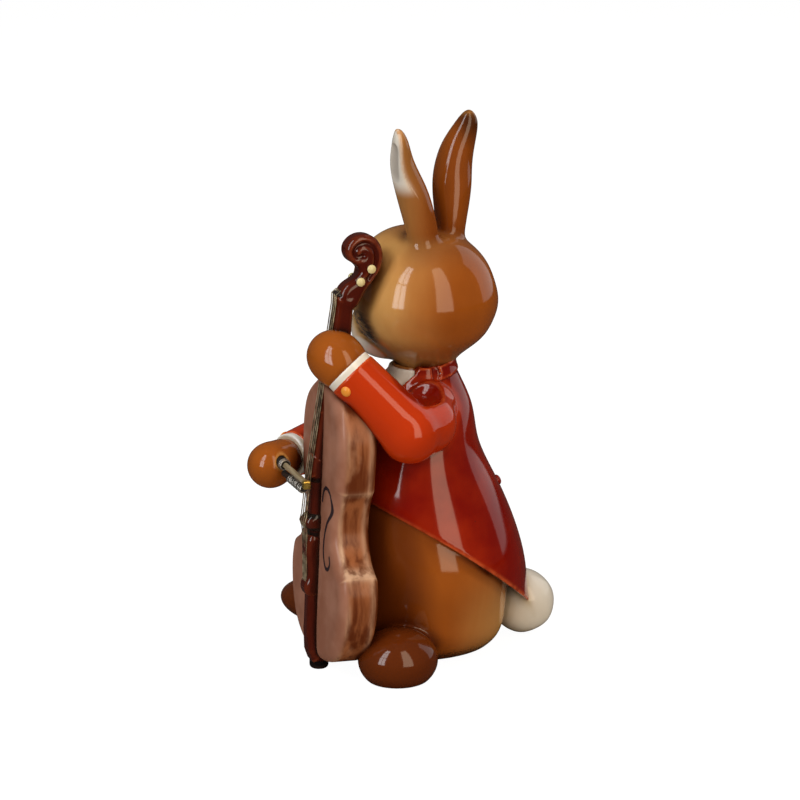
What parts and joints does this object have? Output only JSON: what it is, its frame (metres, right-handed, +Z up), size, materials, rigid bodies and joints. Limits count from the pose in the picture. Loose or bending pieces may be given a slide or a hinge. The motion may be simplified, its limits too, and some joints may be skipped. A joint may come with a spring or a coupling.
{
  "type": "ceramic rabbit figurine",
  "caption": "Seated glazed ceramic rabbit in a red tailcoat, playing a double bass, with a bow that pulls out of its paw.",
  "frame": {"origin": "on the flat foot ring under the body, between the figure's feet and tail", "axes": "+Z up; the seated figure faces -Y; +X is the figure's left"},
  "size_m": [0.0653, 0.0799, 0.1376],
  "materials": {
    "fur_glaze": "toffee brown under a high-gloss clear glaze",
    "white_glaze": "warm white under a high-gloss clear glaze",
    "coat_glaze": "orange red, lighter on raised edges, high gloss",
    "button_glaze": "orange gold enamel, gloss",
    "tie_glaze": "orange brown enamel, gloss",
    "bass_glaze": "pinkish brown, worn to tan at the edges, gloss",
    "neck_glaze": "dark red-brown, high gloss",
    "black_glaze": "black, gloss",
    "peg_cream": "cream enamel, gloss",
    "string_wire": "dull grey-beige wire",
    "bow_wood": "beige, varnished",
    "bow_winding": "black winding",
    "bow_thread": "black thread wound with silver",
    "bow_brass": "polished gold colour"
  },
  "bodies": {
    "figurine": {"body": "fur_glaze", "head": "fur_glaze", "left_ear": "fur_glaze", "right_ear": "fur_glaze", "left_paw": "fur_glaze", "right_paw": "fur_glaze", "left_foot": "fur_glaze", "right_foot": "fur_glaze", "tail": "white_glaze", "left_cuff": "white_glaze", "right_cuff": "white_glaze", "shirt": "white_glaze", "tailcoat": "coat_glaze", "left_sleeve": "coat_glaze", "right_sleeve": "coat_glaze", "waist_buttons": "coat_glaze", "cuff_buttons": "button_glaze", "bow_tie": "tie_glaze", "bass_body": "bass_glaze", "bass_neck": "neck_glaze", "fingerboard": "neck_glaze", "bass_strip": "neck_glaze", "nut": "black_glaze", "bridge": "black_glaze", "tailpiece": "neck_glaze", "end_pin": "black_glaze", "tuning_pegs": "peg_cream", "strings": "string_wire"},
    "bow": {"bow_stick": "bow_wood", "bow_grip": "bow_winding", "bow_hair": "bow_thread", "bow_tip": "bow_brass"}
  },
  "joints": [
    {"name": "bow_pull", "type": "slide", "parent": "figurine", "child": "bow", "axis": [0.9993, 0.0262, -0.0262], "range_m": [0, 0.008]}
  ]
}
